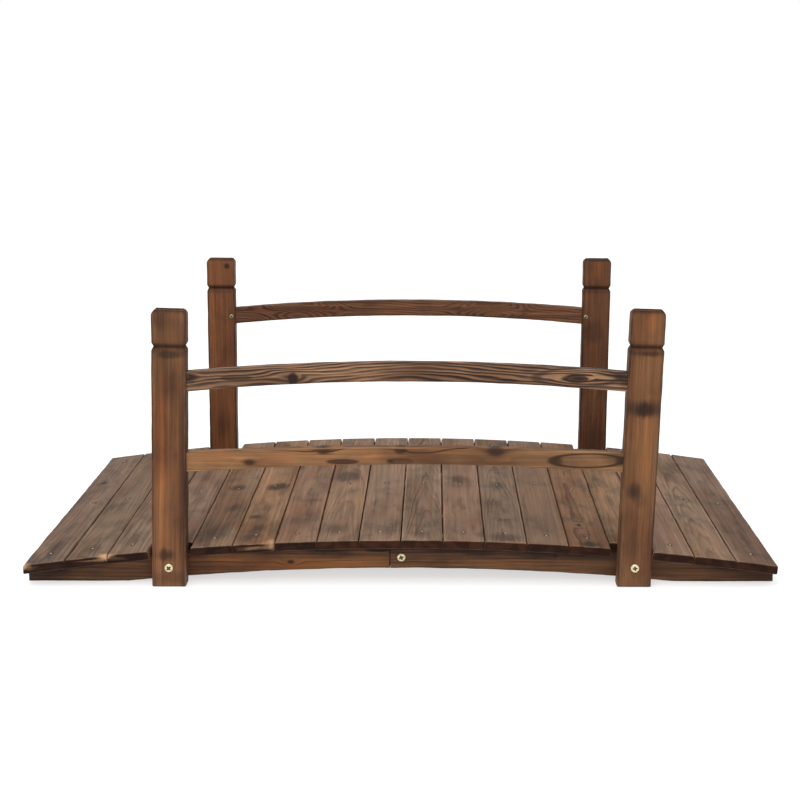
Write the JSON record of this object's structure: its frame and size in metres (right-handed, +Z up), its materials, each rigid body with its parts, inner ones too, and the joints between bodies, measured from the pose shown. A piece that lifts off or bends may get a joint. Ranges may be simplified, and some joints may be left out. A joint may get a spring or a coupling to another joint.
{
  "type": "arched garden footbridge",
  "caption": "Low arched wooden garden footbridge: cross planks on bowed stringers, with two arched railings on four grooved posts.",
  "frame": {"origin": "on the ground, under the middle of the deck", "axes": "+X along the bridge, +Y across it towards the back railing, +Z up"},
  "size_m": [1.5, 0.67, 0.5628],
  "materials": {
    "deck_wood": "charred and brushed fir, oiled, matte",
    "stringer_wood": "charred fir with long dark grain bands, matte",
    "post_wood": "charred fir, reddish brown with dark streaks, matte",
    "fastener_steel": "yellow zinc plated steel, satin",
    "rail_wood": "charred and brushed fir with strong figure, matte"
  },
  "bodies": {
    "root": {"deck_plank_01": "deck_wood", "deck_plank_02": "deck_wood", "deck_plank_03": "deck_wood", "deck_plank_04": "deck_wood", "deck_plank_05": "deck_wood", "deck_plank_06": "deck_wood", "deck_plank_07": "deck_wood", "deck_plank_08": "deck_wood", "deck_plank_09": "deck_wood", "deck_plank_10": "deck_wood", "deck_plank_11": "deck_wood", "deck_plank_12": "deck_wood", "deck_plank_13": "deck_wood", "deck_plank_14": "deck_wood", "deck_plank_15": "deck_wood", "deck_plank_16": "deck_wood", "deck_plank_17": "deck_wood", "deck_plank_18": "deck_wood", "front_stringer_left": "stringer_wood", "front_stringer_right": "stringer_wood", "middle_stringer_left": "stringer_wood", "middle_stringer_right": "stringer_wood", "back_stringer_left": "stringer_wood", "back_stringer_right": "stringer_wood", "front_left_post": "post_wood", "front_right_post": "post_wood", "back_left_post": "post_wood", "back_right_post": "post_wood", "front_upper_rail": "rail_wood", "front_lower_rail": "rail_wood", "back_upper_rail": "rail_wood", "back_lower_rail": "rail_wood"}
  },
  "joints": []
}
